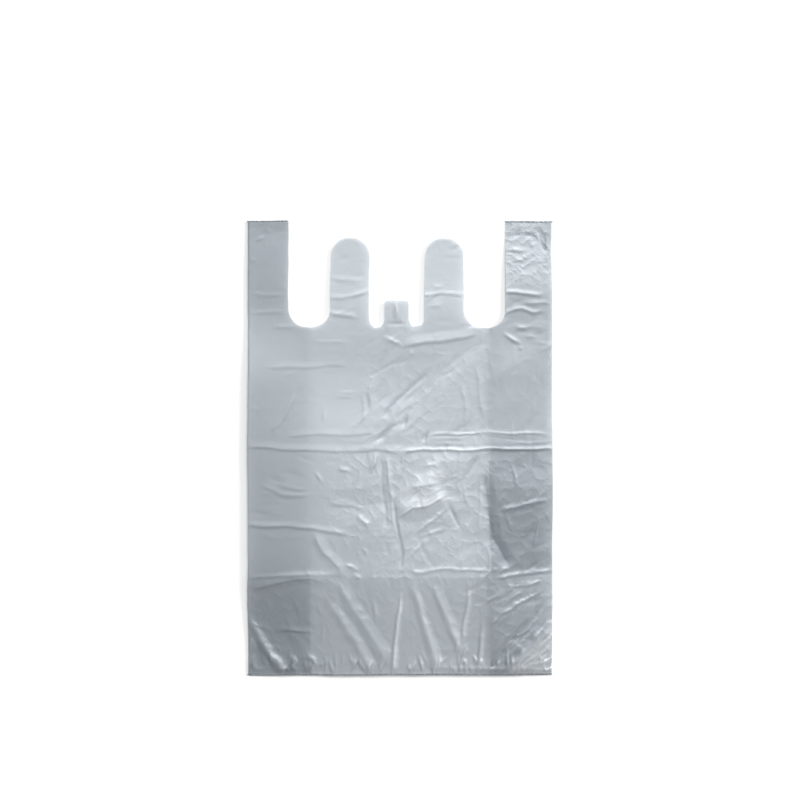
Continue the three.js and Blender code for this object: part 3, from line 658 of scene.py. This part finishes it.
def cut_height(x):
    """The die's outline: how far up the film reaches at each x."""
    d = np.abs(x - die_offset)
    tab_fall = np.clip(d - tab_edge + tab_corner, 0, tab_corner)
    tab = mouth_y + tab_height - tab_corner + np.sqrt(tab_corner**2 - tab_fall**2)
    slot_place = np.clip((d - tab_edge - slot_width / 2) / (slot_width / 2), -1, 1)
    slot = mouth_y + slot_end_height * (1 - np.sqrt(1 - slot_place**2))
    flap_radius = flap_width / 2
    flap_place = np.clip(d - flap_inner - flap_radius, -flap_radius, flap_radius)
    flap = flap_tip_y - flap_radius + np.sqrt(flap_radius**2 - flap_place**2)
    from_wall = np.minimum(d - flap_outer, strap_inner - d)
    corner_place = np.clip(hand_corner - from_wall, 0, hand_corner)
    hand = mouth_y + hand_corner - np.sqrt(hand_corner**2 - corner_place**2)
    edges = [d < tab_edge, d < flap_inner, d < flap_outer, d < strap_inner]
    return np.select(edges, [tab, slot, flap, hand], top_y + 1)


def on_film(points):
    return points[:, 1] <= cut_height(points[:, 0])


def die_cut(places, quads):
    """Keeps the part of each quad that lies on the film, with new points on the cut."""
    kept = on_film(places)
    corners = kept[quads]
    whole = quads[corners.all(1)]
    crossed = quads[corners.any(1) & ~corners.all(1)]
    edges = np.sort(np.stack([crossed, np.roll(crossed, -1, 1)], -1).reshape(-1, 2), 1)
    edges = np.unique(edges[kept[edges[:, 0]] != kept[edges[:, 1]]], axis=0)
    inside = places[np.where(kept[edges[:, 0]], edges[:, 0], edges[:, 1])]
    outside = places[np.where(kept[edges[:, 0]], edges[:, 1], edges[:, 0])]
    for _ in range(cut_halvings):
        middle = (inside + outside) / 2
        film = on_film(middle)[:, None]
        inside, outside = np.where(film, middle, inside), np.where(film, outside, middle)
    new = {tuple(edge): len(places) + i for i, edge in enumerate(edges)}
    polygons = []
    for quad in crossed:
        polygon = []
        for a, b in zip(quad, np.roll(quad, -1)):
            if kept[a]:
                polygon.append(a)
            if kept[a] != kept[b]:
                polygon.append(new[min(a, b), max(a, b)])
        if len(polygon) > 2:
            polygons.append(polygon)
    return np.vstack([places, inside]), whole, polygons


places, whole, polygons = die_cut(places, quads)

# no edge of the real bag is quite straight, so the film strays a little to the side
x, y = places[:, 0].copy(), places[:, 1].copy()
places[:, 0] += 0.5 * noise(x, y, 70, 50, 41) + 0.25 * noise(x, y, 18, 14, 42)
places[:, 1] += 0.5 * noise(x, y, 50, 70, 43) + 0.25 * noise(x, y, 14, 18, 44)
faces = whole.tolist() + polygons
used = np.unique(np.concatenate([whole.ravel()] + [np.array(p) for p in polygons]))
renumber = np.full(len(places), -1)
renumber[used] = np.arange(len(used))
film_mesh = bpy.data.meshes.new("film")
film_mesh.from_pydata((places[used] * MM).tolist(), [], [renumber[f].tolist() for f in faces])
film_mesh.validate()
film_mesh.polygons.foreach_set("use_smooth", np.ones(len(film_mesh.polygons), bool))
i = np.clip(np.searchsorted(column_x, x), 0, len(column_x) - 1)
j = np.clip(np.searchsorted(row_y, y), 0, rows)
# the painted highlight and painted shade for the film's colour, stored on the mesh
painted_shading_values = film_mesh.attributes.new("painted_shading", "FLOAT", "POINT")
painted_shading_values.data.foreach_set("value", np.clip(painted_shading, -1, 1)[j, i][used].astype(np.float32))
how_crumpled = film_mesh.attributes.new("crumple", "FLOAT", "POINT")
how_crumpled.data.foreach_set("value", crumple[j, i][used].astype(np.float32))
film = bpy.data.objects.new("film", film_mesh)
bpy.context.scene.collection.objects.link(film)

# The film is blown polyethylene with silver-grey pigment: it has a satin shine, and part of the light goes
# through it, some of that scattered by the pigment. Its colour carries painted light: a painted highlight
# on creases' crests and on the pale patches, and painted shade at creases' feet, in valleys and where the
# gussets lie behind; it is also a little darker in two places. Where the film is crumpled, crinkles lie
# about 13 mm apart with finer ones between them. The 2.4 mm grain is drawn coarser than real, so that it
# shows.
film_grey = "#c6ccd0"
# colours of the painted highlight and of the painted shade
painted_highlight_colour = "#fbfcfd"
painted_shade_colour = "#7d868d"
crinkles_per_metre = 75.0
grains_per_metre = 420.0


def linear(hex_colour):
    """An sRGB hex colour as linear light, with alpha."""
    values = [int(hex_colour[i : i + 2], 16) / 255 for i in (1, 3, 5)]
    return [v / 12.92 if v <= 0.04045 else ((v + 0.055) / 1.055) ** 2.4 for v in values] + [1]


def add(tree, kind, settings={}, **links):
    """Adds a node, with values and links for its inputs by name, or by number as _0."""
    node = tree.nodes.new(kind)
    for name, value in settings.items():
        setattr(node, name, value)
    for name, value in links.items():
        socket = node.inputs[int(name[1:]) if name[0] == "_" else name.replace("_", " ")]
        if isinstance(value, bpy.types.NodeSocket):
            tree.links.new(value, socket)
        else:
            socket.default_value = value
    return node


def new_material(name):
    material = bpy.data.materials.new(name)
    material.use_nodes = True
    material.node_tree.nodes.clear()
    return material, material.node_tree


film_material, tree = new_material("silver_grey_blown_film")
place = add(tree, "ShaderNodeTexCoord").outputs["Object"]
worn = add(tree, "ShaderNodeAttribute", {"attribute_name": "crumple"}).outputs["Fac"]
crinkle = add(
    tree, "ShaderNodeTexNoise", {"noise_dimensions": "2D", "noise_type": "RIDGED_MULTIFRACTAL"},
    Vector=place, Scale=crinkles_per_metre, Detail=2.0, Roughness=0.6, Lacunarity=2.3, Offset=0.9, Gain=1.5,
)
grain = add(
    tree, "ShaderNodeTexNoise", {"noise_dimensions": "2D"}, Vector=place, Scale=grains_per_metre, Detail=1.0
)
worn_height = add(tree, "ShaderNodeMath", {"operation": "MULTIPLY"}, _0=crinkle.outputs[0], _1=worn)
height = add(
    tree, "ShaderNodeMath", {"operation": "MULTIPLY_ADD"},
    _0=grain.outputs[0], _1=0.1, _2=worn_height.outputs[0],
)
fine = add(tree, "ShaderNodeBump", Strength=0.38, Distance=0.5 * MM, Height=height.outputs[0])
# painted light: the painted highlight and painted shade on the mesh, mixed into the film's colour
painted_shading_shown = add(tree, "ShaderNodeAttribute", {"attribute_name": "painted_shading"}).outputs["Fac"]
pale = add(tree, "ShaderNodeMapRange", Value=painted_shading_shown, From_Max=1.0)
dark = add(tree, "ShaderNodeMapRange", Value=painted_shading_shown, From_Max=-1.0)
shade = add(tree, "ShaderNodeMixRGB", _0=pale.outputs[0], _1=linear(film_grey), _2=linear(painted_highlight_colour))
shade = add(tree, "ShaderNodeMixRGB", _0=dark.outputs[0], _1=shade.outputs[0], _2=linear(painted_shade_colour))
body = add(
    tree, "ShaderNodeBsdfPrincipled", Base_Color=shade.outputs[0], Roughness=0.44, Metallic=0.6,
    IOR=1.52, Normal=fine.outputs["Normal"],
)
scattered_light = add(
    tree, "ShaderNodeBsdfTranslucent", Color=linear("#f3f4f5"), Normal=fine.outputs["Normal"]
)
straight_light = add(tree, "ShaderNodeBsdfTransparent", Color=linear("#f4f6f9"))
passed = add(
    tree, "ShaderNodeMixShader", _0=0.62, _1=scattered_light.outputs[0], _2=straight_light.outputs[0]
)
surface = add(tree, "ShaderNodeMixShader", _0=0.61, _1=body.outputs[0], _2=passed.outputs[0])
add(tree, "ShaderNodeOutputMaterial", Surface=surface.outputs[0])
film_mesh.materials.append(film_material)

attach(film, "root")
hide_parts("film_bag")

# Weld beads: where the hot bar cut and welded the film, its edge drew back into an uneven
# bead of melted film, along the bottom and along the end of each strap. The beads are set
# out along the edge of the stack of layers, close enough to run into one another.
bead_pitch = 0.9
bead_radius = 0.6
bead_rise = 0.2  # from the middle of the stack
weld_lines = []
front_rows = places[: (rows + 1) * count].reshape(rows + 1, count, 3)[:, : len(column_x)]
for film_edge in (
    front_rows[0],
    front_rows[rows][column_x < die_offset - strap_inner],
    front_rows[rows][column_x > die_offset + strap_inner],
):
    weld_line = film_edge.copy()
    weld_line[:, 2] += bead_rise - 3 * weld_pitch
    weld_lines.append(weld_line)
line_points = np.vstack(weld_lines) * MM
starts = np.cumsum([0] + [len(line) for line in weld_lines])
line_edges = [(k, k + 1) for a, b in zip(starts[:-1], starts[1:]) for k in range(a, b - 1)]
bead_mesh = bpy.data.meshes.new("weld_lines")
bead_mesh.from_pydata(line_points.tolist(), line_edges, [])
beads = bpy.data.objects.new("weld_beads", bead_mesh)
bpy.context.scene.collection.objects.link(beads)

# The bead is melted polyethylene, all the layers in one: solid, so darker than the film that
# light goes through, and a little glossier.
bead_grey = "#5b6267"
bead_material, tree = new_material("melted_film_edge")
melted = add(tree, "ShaderNodeBsdfPrincipled", Base_Color=linear(bead_grey), Roughness=0.35, Metallic=0.3)
add(tree, "ShaderNodeOutputMaterial", Surface=melted.outputs[0])

tree = bpy.data.node_groups.new("melted_beads", "GeometryNodeTree")
for name, kind in (
    ("Weld lines", "NodeSocketGeometry"), ("Pitch", "NodeSocketFloat"), ("Radius", "NodeSocketFloat"),
    ("Seed", "NodeSocketInt"), ("Material", "NodeSocketMaterial"),
):
    tree.interface.new_socket(name, in_out="INPUT", socket_type=kind)
tree.interface.new_socket("Beads", in_out="OUTPUT", socket_type="NodeSocketGeometry")
given = add(tree, "NodeGroupInput").outputs
line = add(tree, "GeometryNodeMeshToCurve", Mesh=given["Weld lines"])
spots = add(
    tree, "GeometryNodeCurveToPoints", {"mode": "LENGTH"}, Curve=line.outputs[0], Length=given["Pitch"]
)
bead = add(tree, "GeometryNodeMeshIcoSphere", Radius=given["Radius"], Subdivisions=1)
bead_size = add(
    tree, "FunctionNodeRandomValue", {"data_type": "FLOAT_VECTOR"},
    _0=(0.6, 0.6, 1.6), _1=(1.3, 1.0, 2.8), Seed=given["Seed"],
)
set_out = add(
    tree, "GeometryNodeInstanceOnPoints", Points=spots.outputs["Points"], Instance=bead.outputs["Mesh"],
    Rotation=spots.outputs["Rotation"], Scale=bead_size.outputs[0],
)
one = add(tree, "GeometryNodeRealizeInstances", Geometry=set_out.outputs[0])
coated = add(tree, "GeometryNodeSetMaterial", Geometry=one.outputs[0], Material=given["Material"])
add(tree, "NodeGroupOutput", Beads=coated.outputs[0])
modifier = beads.modifiers.new("melted_beads", "NODES")
modifier.node_group = tree
sockets = {item.name: item.identifier for item in tree.interface.items_tree if item.in_out == "INPUT"}
modifier[sockets["Pitch"]] = bead_pitch * MM
modifier[sockets["Radius"]] = bead_radius * MM
modifier[sockets["Seed"]] = 3
modifier[sockets["Material"]] = bead_material
bpy.context.view_layer.update()
bead_result = beads.evaluated_get(bpy.context.evaluated_depsgraph_get())
finished_mesh = bpy.data.meshes.new_from_object(bead_result)
beads.modifiers.remove(modifier)
beads.data = finished_mesh
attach(beads, "root")
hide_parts("film_bag")

# The table is a matt white board that the bag lies on. It isn't part of the bag. The camera
# sees it as plain white, and it keeps the bag's shadow.
table_half = 3.0
table_drop = 0.2 * MM
corners = [(-1, -1), (1, -1), (1, 1), (-1, 1)]
floor_mesh = bpy.data.meshes.new("table")
floor_mesh.from_pydata(
    [(table_half * x, table_half * y, -table_drop) for x, y in corners], [], [(0, 1, 2, 3)]
)
floor = bpy.data.objects.new("table", floor_mesh)
bpy.context.scene.collection.objects.link(floor)
table_material, tree = new_material("white_table")
path = add(tree, "ShaderNodeLightPath")
seen = path.outputs["Is Camera Ray"]
for ray in ("Is Glossy Ray", "Is Transmission Ray"):
    seen = add(tree, "ShaderNodeMath", {"operation": "MAXIMUM"}, _0=seen, _1=path.outputs[ray]).outputs[0]
glow = add(tree, "ShaderNodeMath", {"operation": "MULTIPLY"}, _0=seen, _1=0.03)
bleached = add(
    tree, "ShaderNodeMixRGB", _0=path.outputs["Is Camera Ray"],
    _1=(0.8, 0.8, 0.8, 1), _2=(0.79, 0.79, 0.79, 1),
)
white = add(tree, "ShaderNodeBsdfDiffuse", Color=bleached.outputs[0])
lit = add(tree, "ShaderNodeEmission", Color=(1, 1, 1, 1), Strength=glow.outputs[0])
board = add(tree, "ShaderNodeAddShader", _0=white.outputs[0], _1=lit.outputs[0])
add(tree, "ShaderNodeOutputMaterial", Surface=board.outputs[0])
floor_mesh.materials.append(table_material)

# The room is white all round. It gives a little even light, and the camera sees it as white.
room_light = 0.22
world = bpy.data.worlds.new("white_room")
world.use_nodes = True
tree = world.node_tree
tree.nodes.clear()
path = add(tree, "ShaderNodeLightPath")
strength = add(tree, "ShaderNodeMapRange", Value=path.outputs["Is Camera Ray"], To_Min=room_light)
room = add(tree, "ShaderNodeBackground", Color=(1, 1, 1, 1), Strength=strength.outputs[0])
add(tree, "ShaderNodeOutputWorld", Surface=room.outputs[0])
bpy.context.scene.world = world

# Two soft lamps, as strength, width in degrees and the way to the lamp: the main one stands
# beyond the straps, and a lower one to the right picks out the creases.
for name, energy, wide, towards in (
    ("main_lamp", 2.75, 32, (0.3, 1.5, 2.5)),
    ("side_lamp", 1.9, 20, (1.1, 0.3, 0.8)),
):
    lamp_data = bpy.data.lights.new(name, "SUN")
    lamp_data.energy = energy
    lamp_data.angle = np.radians(wide)
    lamp = bpy.data.objects.new(name, lamp_data)
    lamp.rotation_euler = Vector(towards).to_track_quat("Z", "Y").to_euler()
    bpy.context.scene.collection.objects.link(lamp)

# The camera looks straight down from 1.9 m, with the bag a little below the picture's middle.
view_width = 0.7958
view_middle_y = 0.04735
camera_data = bpy.data.cameras.new("camera")
camera_data.lens = 85
camera_data.sensor_width = 36
camera_data.clip_end = 20
camera = bpy.data.objects.new("camera", camera_data)
camera.location = (0, view_middle_y, view_width * camera_data.lens / camera_data.sensor_width)
bpy.context.scene.collection.objects.link(camera)
bpy.context.scene.camera = camera

# light passes through up to four layers of film, and back from the table
bpy.context.scene.cycles.transparent_max_bounces = 24
bpy.context.scene.cycles.diffuse_bounces = 8
bpy.context.scene.view_settings.view_transform = "Standard"
